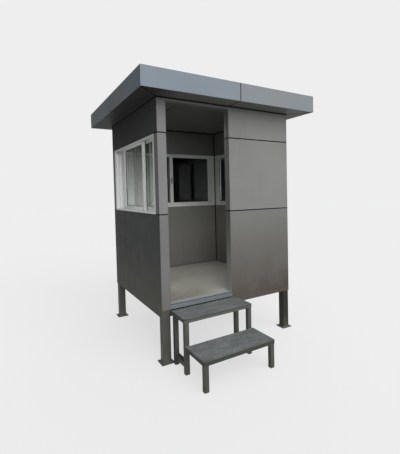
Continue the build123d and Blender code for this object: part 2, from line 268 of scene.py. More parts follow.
def coated_sheet(name, colour, patch=None, roughness=0.45, streak=0.2, metallic=0.08, lower=1.0, left=1.0,
                 rear=1.0, top=None, dirt_and_painted_light_share=0.0, dirt_and_painted_light_top=1.2, dirt_and_painted_light_colour=tint(78, 69, 63), reveal=None):
    """Satin coil-coated composite sheet: fine flake, faint streaks, slight waves, and dirt thrown up from the
    ground that also carries painted shade and light.
    It may have painted shade under the lower joint, out past the left wall or towards the back, and be paler
    on top."""
    look = Look(name, Metallic=metallic, Specular_IOR_Level=0.03)
    base = look.cover(look.noise(1.3, detail=3.0), 0.3, 0.7, shade(colour, 0.90), shade(colour, 1.08))
    # Soft patches of a second colour; on the fascia they are painted reflection of sky and of the sheet's
    # waves.
    if patch:
        base = look.cover(look.noise(1.9), 0.38, 0.62, base, patch)
    streaks = look.noise(1.0, detail=4.0, rough=0.6, stretch=(26.0, 26.0, 1.1))
    base = look.cover(streaks, 0.52, 0.8, base, tint(96, 92, 84), streak)
    flake = look.noise(900.0, detail=1.0)
    base = look.cover(flake, 0.35, 0.65, base, tint(215, 216, 214), 0.08)
    # Painted shade: darker under the lower joint.
    if lower < 1.0:
        base = look.dimmed(look.along("Z"), *lower_joint, base, lower)
    # Painted shade: darker out past the left wall.
    if left < 1.0:
        base = look.dimmed(look.along("X"), body_low.x - 0.05, body_low.x + 0.2, base, left)
    if top:
        base = look.mix(look.facing_up(), base, top)
    # Dirt low down, with painted shade and light in its colour.
    if dirt_and_painted_light_share:
        base = low_dirt_and_painted_light(look, base, dirt_and_painted_light_share, dirt_and_painted_light_top, dirt_and_painted_light_colour, reveal)
    # Painted shade: darker towards the back.
    if rear < 1.0:
        base = look.dimmed(look.along("Y"), body_high.y, body_low.y, base, rear)
    tone = look.noise(7.0, detail=4.0, rough=0.6)
    rough = look.remap(tone, 0.3, 0.7, roughness - 0.05, roughness + 0.07)
    peel = look.math("MULTIPLY", look.noise(420.0, detail=1.0), 0.012)
    relief = look.math("ADD", look.noise(2.2, detail=1.0), peel)
    return look.finish(base, rough, relief, 0.35, 0.004)


def painted_steel(name, colour, rust=0.35, low_dust=0.0, dust=tint(124, 118, 106)):
    """Brushed-on paint over steel: uneven coat, scuffs, rust freckles, and dust near the ground."""
    look = Look(name, Metallic=0.1, Specular_IOR_Level=0.3)
    tone = look.noise(6.0, detail=5.0, rough=0.6)
    base = look.cover(tone, 0.3, 0.7, shade(colour, 0.78), shade(colour, 1.22))
    scuffs = look.noise(14.0, detail=8.0, rough=0.75, stretch=(3.0, 3.0, 0.6))
    base = look.cover(scuffs, 0.58, 0.72, base, tint(128, 126, 120), 0.35)
    freckles = look.noise(60.0, detail=6.0, rough=0.7)
    base = look.cover(freckles, 0.62, 0.76, base, tint(98, 70, 52), rust)
    if low_dust:
        fall = look.remap(look.along("Z"), 0.0, low_dust, 0.55, 0.0)
        patch = look.remap(look.noise(22.0, detail=5.0, rough=0.7), 0.35, 0.7)
        base = look.mix(look.math("MULTIPLY", fall, patch), base, dust)
    brush = look.noise(90.0, detail=3.0, rough=0.6)
    return look.finish(base, look.remap(tone, 0.3, 0.7, 0.42, 0.62), brush, 0.25, 0.0012)


def tread_steel(name, worn, dull, rim):
    """A tread's blue-grey top, trodden pale in places and greenish in others, over a painted rim."""
    look = Look(name, Metallic=0.12, Specular_IOR_Level=0.3)
    wear = look.noise(6.0, detail=6.0, rough=0.62, stretch=(1.0, 2.4, 1.0))
    top = look.cover(wear, 0.34, 0.66, dull, worn)
    hue = look.noise(3.4, detail=3.0)
    top = look.cover(hue, 0.42, 0.66, top, tint(104, 116, 106), 0.55)
    scrapes = look.noise(9.0, detail=8.0, rough=0.8, stretch=(0.7, 5.0, 1.0))
    top = look.cover(scrapes, 0.53, 0.66, top, tint(62, 66, 67), 0.7)
    dirt = look.noise(48.0, detail=5.0, rough=0.75)
    top = look.cover(dirt, 0.46, 0.62, top, tint(74, 76, 74), 0.55)
    chips = look.noise(24.0, detail=6.0, rough=0.7)
    side = look.cover(chips, 0.35, 0.7, shade(rim, 0.85), shade(rim, 1.25))
    base = look.mix(look.facing_up(), side, top)
    grit = look.noise(260.0, detail=3.0, rough=0.7)
    return look.finish(base, look.remap(wear, 0.3, 0.7, 0.68, 0.46), grit, 0.35, 0.0012)


def window_metal(name, colour):
    """Powder-coated aluminium extrusion: even, with faint drawing lines and grime in the corners."""
    look = Look(name, Metallic=0.05, Specular_IOR_Level=0.4)
    tone = look.noise(9.0, detail=4.0)
    base = look.cover(tone, 0.3, 0.7, shade(colour, 0.93), colour)
    grime = look.noise(34.0, detail=7.0, rough=0.75)
    base = look.cover(grime, 0.6, 0.78, base, tint(140, 136, 124), 0.3)
    lines = look.noise(300.0, detail=1.0, stretch=(1.0, 1.0, 0.05))
    return look.finish(base, look.remap(tone, 0.3, 0.7, 0.3, 0.42), lines, 0.12, 0.0005)


def window_glass(name):
    """Clear float glass with its faint grey-green cast, very slightly wavy, a little dusty."""
    look = Look(name, Transmission_Weight=1.0, IOR=1.5)
    smudge = look.noise(6.0, detail=6.0, rough=0.7)
    base = look.cover(smudge, 0.4, 0.7, tint(186, 193, 187), tint(174, 182, 176))
    waves = look.noise(2.0, detail=0.0)
    return look.finish(base, look.remap(smudge, 0.55, 0.85, 0.0, 0.012), waves, 0.01, 0.0005)


def floor_covering(name):
    """Matt floor sheet with a mineral fleck, dust and stains, and dirt trodden in at the doorway.
    It is painted paler beside the jamb near the doorway: painted light."""
    look = Look(name, Specular_IOR_Level=0.3)
    patch = look.noise(2.4, detail=5.0, rough=0.6)
    base = look.cover(patch, 0.3, 0.72, tint(159, 157, 147), tint(184, 183, 176))
    fleck = look.noise(240.0, rough=0.7)
    base = look.cover(fleck, 0.5, 0.68, base, tint(110, 108, 98), 0.3)
    stain = look.noise(5.5, detail=7.0, rough=0.75)
    base = look.cover(stain, 0.54, 0.7, base, tint(142, 122, 94), 0.5)
    inside = look.remap(look.along("Y"), room_low.y, room_low.y + 0.6, 0.85, 0.0)
    trodden = look.remap(look.noise(7.0, detail=6.0, rough=0.7), 0.3, 0.6, 0.5, 1.0)
    base = look.mix(look.math("MULTIPLY", inside, trodden), base, tint(132, 128, 116))
    # Painted light: paler beside the jamb, near the front of the room.
    painted_light_by_jamb = look.remap(look.along("X"), sill_high.x - 0.26, sill_high.x + 0.1)
    painted_light_near_front = look.remap(look.along("Y"), room_low.y, room_low.y + 0.8, 1.0, 0.0)
    base = look.mix(look.math("MULTIPLY", painted_light_by_jamb, painted_light_near_front), base, tint(208, 207, 199))
    return look.finish(base, look.remap(patch, 0.3, 0.7, 0.5, 0.72), fleck, 0.2, 0.0006)


def sealant(name, colour):
    """Matt weather sealant, tooled by hand, with dust caught on it."""
    look = Look(name, Specular_IOR_Level=0.04)
    tone = look.noise(55.0, detail=4.0, rough=0.6)
    base = look.cover(tone, 0.35, 0.75, colour, shade(colour, 1.8))
    return look.finish(base, look.remap(tone, 0.3, 0.7, 0.5, 0.75), tone, 0.3, 0.001)


def roof_sheeting(name):
    """Weathered roofing: dust washed into pale fans, water marks and darker damp patches."""
    look = Look(name, Metallic=0.3, Specular_IOR_Level=0.3)
    wash = look.noise(1.7, detail=7.0, rough=0.62)
    base = look.cover(wash, 0.3, 0.72, tint(112, 115, 117), tint(142, 144, 142))
    marks = look.noise(4.0, detail=8.0, rough=0.75)
    base = look.cover(marks, 0.55, 0.7, base, tint(112, 103, 89), 0.45)
    return look.finish(base, look.remap(wash, 0.3, 0.7, 0.45, 0.7), marks, 0.2, 0.002)


# Front boards: painted shade under the lower joint, dirt low down that is partly painted shade, and painted
# light on the doorway's jambs.
front_grey = coated_sheet("front_coating", tint(128, 128, 124), lower=0.82, dirt_and_painted_light_share=0.95, dirt_and_painted_light_top=1.28,
                          reveal=tint(186, 187, 180))
# Left wall boards: a much darker copy of the front coating, which is painted shade, darker still towards the
# back; low down they are paler, partly dust and partly painted light.
painted_shade_left_grey = coated_sheet("left_coating_painted_shade", tint(69, 71, 71), streak=0.10, metallic=0.0, rear=0.58, dirt_and_painted_light_share=0.9,
                         dirt_and_painted_light_top=0.98, dirt_and_painted_light_colour=tint(112, 112, 100))
# Back and right wall boards: a darker copy of the front coating, painted shade less deep than the left
# wall's.
half_shaded_rear_grey = coated_sheet("rear_coating_painted_shade", tint(102, 103, 101), streak=0.12, dirt_and_painted_light_share=0.5, dirt_and_painted_light_top=0.85)
# Post cladding: painted shade under the lower joint.
post_grey = coated_sheet("post_coating", tint(122, 122, 121), lower=0.84, dirt_and_painted_light_share=0.3, dirt_and_painted_light_top=0.9)
# Room lining: darker low down, which is painted shade, with dirt spots.
lining_grey = coated_sheet("lining_coating", tint(130, 129, 124), roughness=0.5, dirt_and_painted_light_share=0.45, dirt_and_painted_light_top=0.95)
# Fascia: its blue cast and soft patches are partly painted reflection of sky.
roof_grey = coated_sheet("roof_coating", tint(127, 138, 148), patch=tint(133, 137, 138), streak=0.06)
# Soffit: painted shade out past the left wall.
soffit_grey = coated_sheet("soffit_coating", tint(131, 130, 127), roughness=0.5, left=0.25)
ceiling_grey = coated_sheet("ceiling_coating", tint(114, 113, 109), roughness=0.5)
sill_grey = coated_sheet("sill_coating", tint(106, 110, 115), roughness=0.4, top=tint(164, 167, 167))
frame_paint = painted_steel("frame_paint", tint(82, 81, 76), low_dust=0.16)
# Paint of the front right post: a darker copy of the frame paint, painted shade.
painted_shade_post_paint = painted_steel("frame_paint_painted_shade", tint(36, 36, 32), low_dust=0.16)
step_paint = painted_steel("step_paint", tint(78, 78, 73), rust=0.5, low_dust=0.36, dust=tint(42, 36, 27))
# Foot plates: a lighter, bluer copy of the frame paint, partly painted light on their tops.
plate_paint_with_painted_light = painted_steel("plate_paint_with_painted_light", tint(98, 102, 105), low_dust=0.01)
upper_tread_finish = tread_steel("upper_tread", tint(140, 145, 144), tint(100, 105, 107), tint(88, 88, 84))
lower_tread_finish = tread_steel("lower_tread", tint(138, 143, 143), tint(101, 106, 108), tint(62, 61, 56))
lozenge_steel = painted_steel("lozenge_steel", tint(142, 147, 147), rust=0.15)
weld_metal = painted_steel("weld_metal", tint(112, 114, 116), rust=0.3)
window_white = window_metal("window_coating", tint(240, 242, 238))
glass = window_glass("window_glass")
floor_finish = floor_covering("floor_covering")
# Black sealant, also drawn as painted shadow in gaps and under edges.
black_sealant_and_shadow = sealant("joint_sealant", tint(18, 18, 18))
grey_sealant = sealant("frame_sealant", tint(96, 98, 96))
rubber = sealant("window_rubber", tint(24, 25, 25))
deck_finish = roof_sheeting("roof_sheeting")
galvanised = painted_steel("fixing_steel", tint(150, 152, 152), rust=0.2)


# ------ mesh helpers
def copy_of(node):
    """A CAD node's mesh, with the corners that its faces share joined up."""
    mesh = bmesh.new()
    mesh.from_mesh(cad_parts[node].data)
    bmesh.ops.remove_doubles(mesh, verts=mesh.verts, dist=1e-6)
    return mesh


def loose_boxes(node):
    """The box of each separate solid in a CAD node, as lowest and highest corners."""
    mesh = copy_of(node)
    waiting = set(mesh.verts)
    boxes = []
    while waiting:
        reached = [waiting.pop()]
        group = []
        while reached:
            vert = reached.pop()
            group.append(vert.co.copy())
            beyond = waiting.intersection(edge.other_vert(vert) for edge in vert.link_edges)
            waiting -= beyond
            reached.extend(beyond)
        boxes.append(tuple(Vector(map(end, zip(*group))) for end in (min, max)))
    mesh.free()
    return sorted(boxes, key=lambda pair: tuple(round(value, 4) for value in pair[0]))


def gap_between(node, axis):
    """Where the gap between a node's first two boards starts and ends along an axis."""
    first, second = loose_boxes(node)[:2]
    return first[1][axis], second[0][axis]


def new_object(name, mesh, material):
    """An object in the scene with one material, made from a bmesh."""
    data = bpy.data.meshes.new(name)
    mesh.to_mesh(data)
    mesh.free()
    data.materials.append(material)
    made = bpy.data.objects.new(name, data)
    scene.collection.objects.link(made)
    return made


def add_piece(name, mesh, material):
    """Turn a bmesh into a piece that rides on the booth."""
    for face in mesh.faces:
        face.smooth = True
    mesh.normal_update()
    piece = new_object(name, mesh, material)
    piece.data.set_sharp_from_angle(angle=math.radians(40))
    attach(piece, "root")
    return piece


def soften(mesh, width, segments=2):
    """Round every sharp edge of a mesh by a small width."""
    sharp = [edge for edge in mesh.edges if len(edge.link_faces) == 2 and edge.calc_face_angle() > sharp_turn]
    bmesh.ops.bevel(mesh, geom=sharp, offset=width, offset_type="OFFSET", segments=segments,
                    profile=0.5, affect="EDGES", clamp_overlap=True)


def finished(node, material, width, segments=2):
    """Stand in for a CAD node with the same shape, its edges softened."""
    mesh = copy_of(node)
    bmesh.ops.dissolve_limit(mesh, angle_limit=0.01, verts=mesh.verts, edges=mesh.edges)
    soften(mesh, width, segments)
    piece = add_piece(f"{node}_finished", mesh, material)
    weighted = piece.modifiers.new("flat_faces", "WEIGHTED_NORMAL")
    weighted.keep_sharp = True
    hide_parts(node)


def recoat(node, material):
    """Give a CAD node that hardly shows a finish of its own."""
    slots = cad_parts[node].data.materials
    slots.clear()
    slots.append(material)


def bridge(mesh, rings, closed=False):
    """Faces from each ring of corners to the next."""
    faces = []
    for first, second in zip(rings, rings[1:] + rings[:1] if closed else rings[1:]):
        for j in range(len(first)):
            k = (j + 1) % len(first)
            faces.append(mesh.faces.new((first[j], first[k], second[k], second[j])))
    return faces


def skin(mesh, rings, closed=False):
    """Faces along a run of rings, and over its ends unless it is closed, facing out."""
    faces = bridge(mesh, rings, closed)
    if not closed:
        faces += [mesh.faces.new(rings[0]), mesh.faces.new(rings[-1])]
    bmesh.ops.recalc_face_normals(mesh, faces=faces)


def round_ring(mesh, middle, side, other, radius, corners):
    """A ring of corners round a point, in the plane of two directions."""
    turns = [math.tau * i / corners for i in range(corners)]
    spokes = [side * math.cos(turn) + other * math.sin(turn) for turn in turns]
    return [mesh.verts.new(middle + spoke * radius) for spoke in spokes]


def sweep(mesh, path, up, profile, closed=False):
    """Carry a closed profile along straight runs as one bar, mitred at the corners.
    A profile point is (to the right of travel, along up)."""
    path = [Vector(point) for point in path]
    up = Vector(up)
    ahead = path[1:] + path[:1] if closed else path[1:]
    runs = [(after - point).normalized() for point, after in zip(path, ahead)]
    rings = []
    for i, point in enumerate(path):
        before = runs[i - 1] if closed or i else runs[0]
        after = runs[i] if i < len(runs) else runs[-1]
        right, next_right = before.cross(up), after.cross(up)
        corner = (right + next_right) / (1 + right.dot(next_right))
        rings.append([mesh.verts.new(point + corner * a + up * b) for a, b in profile])
    skin(mesh, rings, closed)


def both_sides(*right):
    """A whole section, from the points of its right half."""
    return [*right, *((-across, out) for across, out in reversed(right))]


def block(mesh, low, high, edge=0.0):
    """A block between two corners, running front to back, its top edges chamfered."""
    half = (high[0] - low[0]) / 2
    tall = high[2] - low[2]
    chamfer = [(half - edge, tall)] if edge else []
    section = both_sides((half, 0), (half, tall - edge), *chamfer)
    sweep(mesh, [(low[0] + half, y, low[2]) for y in (low[1], high[1])], (0, 0, 1), section)


def hollow_joint(width, depth):
    """The section of a tooled joint between two edges: (across it, out of it), its face sunk in."""
    half = width / 2
    return both_sides((half, -depth), (half, -0.4 * MM), (half * 0.5, -1.2 * MM))


def smeared_joint(width, depth, smear):
    """The section of a joint whose sealant laps a little over both edges."""
    half = width / 2
    lap = half + smear
    return both_sides((half, -depth), (half, 0), (lap, 0), (lap, 0.3 * MM), (half * 0.5, -0.5 * MM))


def turned(profile):
    """A section with its two directions exchanged."""
    return [(out, across) for across, out in profile]


def level_ring(low, high, height):
    """The corners of a box's plan at a height, counterclockwise from above."""
    plan = ((low.x, low.y), (high.x, low.y), (high.x, high.y), (low.x, high.y))
    return [(x, y, height) for x, y in plan]


def corner_fillet(mesh, start, end, first, second, width):
    """A tooled fillet of sealant in an inside corner, between two directions away from it."""
    first, second = Vector(first), Vector(second)
    hollow = (first + second) * 0.28
    section = [Vector(), first * width, hollow * width, second * width]
    rings = [[mesh.verts.new(Vector(point) + place) for place in section] for point in (start, end)]
    skin(mesh, rings)


def weld_bead(mesh, path, size, closed=True):
    """A run of weld along a path: a rounded bead that swells and narrows with each stitch."""
    ripple = 5 * MM
    path = [Vector(point) for point in path]
    for start, end in zip(path, path[1:] + path[:1] if closed else path[1:]):
        along = (end - start).normalized()
        side = along.orthogonal().normalized()
        other = along.cross(side)
        steps = max(2, round((end - start).length / ripple * 2))
        rings = []
        for i in range(steps + 1):
            radius = size * ((1.15 if i % 2 else 0.8) + random.uniform(-0.08, 0.08))
            rings.append(round_ring(mesh, start.lerp(end, i / steps), side, other, radius, 6))
        skin(mesh, rings)


def screw_head(mesh, middle, out, radius=4 * MM, rise=2.2 * MM):
    """A domed screw head on its washer, standing out from a surface."""
    middle, out = Vector(middle), Vector(out)
    side = out.orthogonal().normalized()
    other = out.cross(side)
    outline = [(1.5, 0.0), (1.5, 0.35), (1.0, 0.4), (0.9, 0.75), (0.55, 1.0)]
    rings = [round_ring(mesh, middle + out * rise * tall, side, other, radius * wide, 12)
             for wide, tall in outline]
    skin(mesh, rings)


# ------ pieces that follow the CAD nodes
for node in ("front_panel_lower", "front_panel_middle", "front_panel_upper"):
    finished(node, front_grey, front_edge)
for node in ("front_post_cladding", "corner_cladding", "door_head"):
    finished(node, post_grey, board_edge)
for side in ("left", "right", "back"):
    outside = painted_shade_left_grey if side == "left" else half_shaded_rear_grey
    finished(f"{side}_panel_lower", outside, board_edge)
    finished(f"{side}_panel_upper", outside, board_edge)
    finished(f"{side}_wall_core", lining_grey, lining_edge)
    finished(f"{side}_window_frame", window_white, window_edge)
    finished(f"{side}_window_panes", glass, glass_edge, 1)
for side in ("front", "left", "right", "back"):
    finished(f"fascia_{side}", roof_grey, board_edge)
finished("front_wall_core", lining_grey, lining_edge)
finished("door_sill", sill_grey, board_edge)
finished("floor_panel", floor_finish, floor_edge)
finished("soffit_panels", soffit_grey, lining_edge)
finished("ceiling_panel", ceiling_grey, lining_edge)
finished("roof_deck", deck_finish, lining_edge)
for corner in ("front_left", "back_left", "back_right"):
    finished(f"corner_post_{corner}", frame_paint, tube_edge, 1)
finished("corner_post_front_right", painted_shade_post_paint, tube_edge, 1)
finished("foot_plates", plate_paint_with_painted_light, board_edge)
for node in ("floor_beams", "floor_joists", "door_post", "roof_bearers", "roof_joists"):
    recoat(node, frame_paint)
finished("step_legs", step_paint, tube_edge, 1)
finished("step_braces", step_paint, steel_edge)
finished("step_upper_tread", upper_tread_finish, steel_edge)
finished("step_lower_tread", lower_tread_finish, steel_edge)


# ------ joints of the walls and roof
def wall_joints():
    """Black joints round the corners at two heights, and the narrower ones over and under the windows."""
    mesh = bmesh.new()
    low, high = body_low, body_high
    inner_low, inner_high = low + Vector((wall, wall, 0)), high - Vector((wall, wall, 0))
    post_back = high_of("front_post_cladding").y
    corners = [
        [(low.x, inner_low.y), (low.x, low.y), (sill_low.x, low.y), (sill_low.x, post_back)],
        [(sill_high.x, inner_low.y), (sill_high.x, low.y), (high.x, low.y), (high.x, inner_low.y)],
        [(high.x, inner_high.y), (high.x, high.y), (inner_high.x, high.y)],
        [(inner_low.x, high.y), (low.x, high.y), (low.x, inner_high.y)],
    ]
    for bottom, top in (lower_joint, upper_joint):
        section = turned(hollow_joint(top - bottom, sheet))
        for corner in corners:
            sweep(mesh, [(x, y, (bottom + top) / 2) for x, y in corner], (0, 0, 1), section)
    for bottom, top in ((lower_joint[0], window_low.z), (window_high.z, upper_joint[1])):
        section = turned(hollow_joint(top - bottom, sheet))
        for side in windowed:
            reach = side.frame()[1][0]
            path = [side.place(end, 0, (bottom + top) / 2) for end in (-reach, reach)]
            sweep(mesh, path, (0, 0, 1), section)
    add_piece("wall_joint_sealant", mesh, black_sealant_and_shadow)


def fascia_joints(mesh, first_x, second_x, middle_y):
    """Upright joints between the two boards of each fascia."""
    section = hollow_joint(second_x - first_x, sheet)
    middle_x = (first_x + second_x) / 2
    heights = (roof_low.z, roof_high.z - 1 * MM)
    for x, y, out in ((middle_x, roof_low.y, (0, -1, 0)), (middle_x, roof_high.y, (0, 1, 0)),
                      (roof_low.x, middle_y, (-1, 0, 0)), (roof_high.x, middle_y, (1, 0, 0))):
        sweep(mesh, [(x, y, z) for z in heights], out, section)


def soffit_joints(mesh, gap, middle_x, middle_y):
    """Joints across the soffit, along its mitres, and between it and the walls."""
    section = smeared_joint(gap, sheet, smear=1.5 * MM)

    def joint(*points, closed=False):
        sweep(mesh, [(x, y, soffit_under) for x, y in points], (0, 0, -1), section, closed)

    edges_x, edges_y = ((low + sheet, high - sheet) for low, high in zip(roof_low[:2], roof_high[:2]))
    walls_x, walls_y = ((low - gap / 2, high + gap / 2) for low, high in zip(body_low[:2], body_high[:2]))
    for y_edge, y_wall in zip(edges_y, walls_y):
        joint((middle_x, y_edge), (middle_x, y_wall))
        for x_edge, x_wall in zip(edges_x, walls_x):
            joint((x_edge, y_edge), (x_wall, y_wall))
    for x_edge, x_wall in zip(edges_x, walls_x):
        joint((x_edge, middle_y), (x_wall, middle_y))
    joint(*[(walls_x[i], walls_y[j]) for i, j in ((0, 0), (1, 0), (1, 1), (0, 1))], closed=True)


def roof_joints():
    """Black joints between fascia boards and soffit boards, at the mitres, and a black bead round the top of
    the walls that is partly painted shade.
    """
    mesh = bmesh.new()
    first_x, second_x = gap_between("fascia_front", 0)
    middle_y = sum(gap_between("fascia_left", 1)) / 2
    fascia_joints(mesh, first_x, second_x, middle_y)
    soffit_joints(mesh, second_x - first_x, (first_x + second_x) / 2, middle_y)
    # The bead is 10 mm tall: sealant, and painted shade in the corner under the soffit.
    bead = [(0, 0), (4 * MM, 0), (2 * MM, -3 * MM), (1.5 * MM, -10 * MM), (0, -10 * MM)]
    sweep(mesh, level_ring(body_low, body_high, soffit_under), (0, 0, 1), bead, closed=True)
    add_piece("roof_joint_sealant_and_shade", mesh, black_sealant_and_shadow)


def room_joints():
    """Black fillets in the corners of the room, under the ceiling, along the floor but for the front wall,
    and down the corners, partly sealant and partly painted shade; sealant along the ceiling's joint; and
    black blocks in the back corners at window height.
    """
    mesh = bmesh.new()
    low, high = room_low, room_high
    # Painted shade: the black fillets darken the room's corners, besides being sealant.
    corner_width, ceiling_width, floor_width = 9 * MM, 12 * MM, 4 * MM
    floor, ceiling = (level_ring(low, high, height) for height in (low.z, high.z))
    inward = [(1, 1), (-1, 1), (-1, -1), (1, -1)]
    for (x, y, _), (in_x, in_y) in zip(floor, inward):
        for bottom, top in ((low.z, window_low.z), (window_high.z, high.z)):
            corner_fillet(mesh, (x, y, bottom), (x, y, top), (in_x, 0, 0), (0, in_y, 0), corner_width)
    for i in range(4):
        after = (i + 1) % 4
        into = (0, inward[i][1], 0) if i % 2 == 0 else (inward[i][0], 0, 0)
        corner_fillet(mesh, ceiling[i], ceiling[after], into, (0, 0, -1), ceiling_width)
        if i:  # not along the front wall, where the doorway is
            corner_fillet(mesh, floor[i], floor[after], into, (0, 0, 1), floor_width)
    first_x, second_x = gap_between("ceiling_panel", 0)
    ceiling_joint = [((first_x + second_x) / 2, y, high.z) for y in (low.y, high.y)]
    sweep(mesh, ceiling_joint, (0, 0, -1), hollow_joint(second_x - first_x, sheet))
    reveal = low.x - high_of("left_window_frame").x
    for corner_x in (low.x - reveal, high.x):
        block(mesh, (corner_x, high.y, window_low.z), (corner_x + reveal, high.y + reveal, window_high.z))
    add_piece("room_corner_sealant_and_shade", mesh, black_sealant_and_shadow)


def threshold():
    """The dark lines at the doorway's foot: a dark lip along the sill's edge, and in the gap over the steps a
    black block that is painted shadow.
    """
    mesh = bmesh.new()
    clearance, painted_shadow_depth = 1 * MM, 2 * MM
    ends = (sill_low.x + clearance, sill_high.x - clearance)
    lip = [(-2 * MM, -3.5 * MM), (0.5 * MM, -3.5 * MM), (0.8 * MM, -1.5 * MM), (0.5 * MM, 0.3 * MM),
           (-2 * MM, 0.5 * MM)]
    sweep(mesh, [(x, sill_low.y, sill_high.z) for x in ends], (0, 0, 1), lip)
    behind = sill_low.y + sheet
    # Painted shadow: a black block in the gap between the upper tread and the sill.
    block(mesh, (ends[0], behind - painted_shadow_depth, high_of("step_upper_tread").z), (ends[1], behind, sill_low.z))
    add_piece("threshold_sealant_and_shadow", mesh, black_sealant_and_shadow)


wall_joints()
roof_joints()
room_joints()
threshold()


# ------ windows
def sash_section(width, half):
    """A sash bar's section: (towards the glass, out), with a sloping glazing bead on both faces."""
    round_off, step, lip = 1 * MM, 3.5 * MM, 11 * MM
    front = [(0, half - round_off), (round_off, half), (width - lip - round_off, half),
             (width - lip, half - round_off), (width - lip, half - step), (width, half - step - 4 * MM)]
    return front + [(a, -b) for a, b in reversed(front)]


def add_sash(mesh, side, box, left_stile, right_stile):
    """One sash: two stiles, and two rails between them."""
    (left, near, bottom), (right, far, top) = box
    depth = (near + far) / 2
    half = (far - near) / 2

    def bar(path, width, thick):
        section = [(-across, out) for across, out in sash_section(width, thick)]
        sweep(mesh, [side.place(across, depth, height) for across, height in path], side.out, section)

    bar([(left, top), (left, bottom)], left_stile, half)
    bar([(right, bottom), (right, top)], right_stile, half)
    overlap, step_back = 1 * MM, 0.4 * MM
    inner_left, inner_right = left + left_stile - overlap, right - right_stile + overlap
    bar([(inner_left, bottom), (inner_right, bottom)], sash_bottom_rail, half - step_back)
    bar([(inner_right, top), (inner_left, top)], sash_top_rail, half - step_back)


def rectangle_path(side, box, depth):
    """A closed path round a box on a wall, running counterclockwise as seen from outside."""
    left, bottom, right, top = box[0][0], box[0][2], box[1][0], box[1][2]
    corners = ((left, bottom), (right, bottom), (right, top), (left, top))
    return [side.place(across, depth, height) for across, height in corners]


def sashes(side):
    """Both sashes of a window, in place of the CAD's plain ones, with narrow stiles where they meet."""
    mesh = bmesh.new()
    outer, inner = side.solids("sashes")
    add_sash(mesh, side, outer, sash_stile, meeting_stile)
    add_sash(mesh, side, inner, meeting_stile, sash_stile)
    soften(mesh, sash_edge, 1)
    piece = add_piece(f"{side.name}_sashes", mesh, window_white)
    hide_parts(f"{side.name}_window_sashes")


def gaskets(side):
    """Black rubber round each pane, on both of its faces, and pile strips down the meeting stiles."""
    mesh = bmesh.new()
    strip = [(0, 0), (-9.5 * MM, 0), (-9 * MM, 1.5 * MM), (-6 * MM, 3 * MM), (0, 3 * MM)]
    for pane in side.solids("panes"):
        for depth, out in ((pane[0][1], 1), (pane[1][1], -1)):
            section = [(across, rise * out) for across, rise in strip]
            sweep(mesh, rectangle_path(side, pane, depth), side.out, section, closed=True)
    outer, inner = side.solids("sashes")
    gap = inner[0][1] - outer[1][1]
    pile = both_sides((3 * MM, 0), (2 * MM, gap))
    pile_inset = 8 * MM
    for across in (outer[1][0] - pile_inset, inner[0][0] + pile_inset):
        sweep(mesh, [side.place(across, inner[0][1], z) for z in (inner[0][2], inner[1][2])], side.out, pile)
    add_piece(f"{side.name}_gaskets", mesh, rubber)


def track_ribs(side):
    """The upright rib that the rollers run on, where a sash leaves its channel empty."""
    mesh = bmesh.new()
    jamb = side.frame()[1][0] - channel_width
    rib = [(-1.5 * MM, 0), (1.5 * MM, 0), (1.5 * MM, 6 * MM), (0, 8 * MM), (-1.5 * MM, 6 * MM)]
    shortest = 40 * MM
    for low, high in side.solids("sashes"):
        for start, end in ((-jamb, low[0]), (high[0], jamb)):
            if end - start > shortest:
                path = [side.place(across, (low[1] + high[1]) / 2, low[2]) for across in (start, end)]
                sweep(mesh, path, (0, 0, 1), rib)
    add_piece(f"{side.name}_track_ribs", mesh, galvanised)


def frame_bead(side):
    """Sealant down both ends of a window frame outside, and round its inside edge."""
    outside = bmesh.new()
    inside = bmesh.new()
    (left, _, bottom), (right, back, top) = side.frame()
    bead = [(-1.5 * MM, -2 * MM), (3 * MM, -2 * MM), (2.5 * MM, -0.1 * MM), (0, 0), (-1.5 * MM, -0.1 * MM)]
    sweep(outside, [side.place(left, 0, z) for z in (top, bottom)], side.out, bead)
    sweep(outside, [side.place(right, 0, z) for z in (bottom, top)], side.out, bead)
    cove = [(0, 0), (0, (back - wall) * 0.6), (-5 * MM, 0)]
    sweep(inside, rectangle_path(side, side.frame(), back), side.out, cove, closed=True)
    add_piece(f"{side.name}_frame_joint", outside, black_sealant_and_shadow)
    add_piece(f"{side.name}_frame_sealant", inside, grey_sealant)


def latch(side):
    """A crescent latch on the room side of the inner sash's meeting stile: plate, cam, lever and screws."""
    mesh = bmesh.new()
    low, high = side.solids("sashes")[1]
    stile_middle, middle_height = low[0] + meeting_stile / 2, (low[2] + high[2]) / 2

    def place(across, inward, height):
        return side.place(stile_middle + across, high[1] + inward, middle_height + height)

    plate = both_sides((11 * MM, 0), (9.5 * MM, -3 * MM))
    sweep(mesh, [place(0, 0, z) for z in (-38 * MM, 38 * MM)], side.out, plate)
    turns = [math.radians(degrees) for degrees in range(-100, 101, 20)]
    reach = 17 * MM
    cam = [place(reach * math.sin(turn) - 4 * MM, 5 * MM, reach * math.cos(turn) - 4 * MM) for turn in turns]
    sweep(mesh, cam, side.out, [(-5 * MM, -4 * MM), (3 * MM, -4 * MM), (3 * MM, 3 * MM), (-5 * MM, 3 * MM)])
    lever = [place(2 * MM, 9 * MM, 0), place(2 * MM, 12 * MM, 24 * MM), place(2 * MM, 10 * MM, 44 * MM)]
    sweep(mesh, lever, side.out, both_sides((5 * MM, -2 * MM), (4 * MM, 2 * MM)))
    for z in (-31 * MM, 31 * MM):
        screw_head(mesh, place(0, 3 * MM, z), -side.out, 2.5 * MM, 1.5 * MM)
    soften(mesh, latch_edge, 1)
    add_piece(f"{side.name}_window_latch", mesh, galvanised)


for side in windowed:
    sashes(side)
    gaskets(side)
    track_ribs(side)
    frame_bead(side)
    latch(side)


